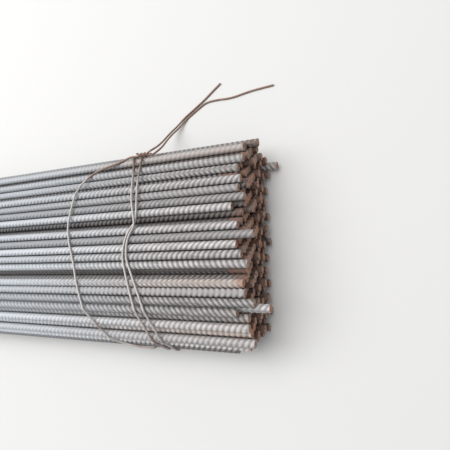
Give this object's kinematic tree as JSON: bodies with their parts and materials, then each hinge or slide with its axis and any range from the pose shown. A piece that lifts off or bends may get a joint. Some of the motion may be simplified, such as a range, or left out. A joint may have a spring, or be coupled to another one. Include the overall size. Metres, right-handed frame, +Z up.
{
  "type": "rebar bundle",
  "caption": "Straight ribbed steel reinforcing bars stacked in a rounded bundle and held by twisted tie wires.",
  "frame": {"origin": "on the floor, under the middle of the bundle's length and of its lowest layer", "axes": "+X along the bars towards the end with the slack tie, +Y across the bundle towards the knots, +Z up"},
  "size_m": [6.072, 0.6122, 0.1385],
  "materials": {
    "bar_steel": "hot-rolled, mill scale with light rust",
    "wire_steel": "annealed wire, dull with light rust"
  },
  "bodies": {
    "root": {"bars_layer_1": "bar_steel", "bars_layer_2": "bar_steel", "bars_layer_3": "bar_steel", "bars_layer_4": "bar_steel", "bars_layer_5": "bar_steel", "bars_layer_6": "bar_steel", "bars_layer_7": "bar_steel", "bars_layer_8": "bar_steel", "bars_layer_9": "bar_steel", "tie_wire_1": "wire_steel", "tie_wire_2": "wire_steel", "tie_wire_3": "wire_steel", "tie_wire_4": "wire_steel"}
  },
  "joints": []
}
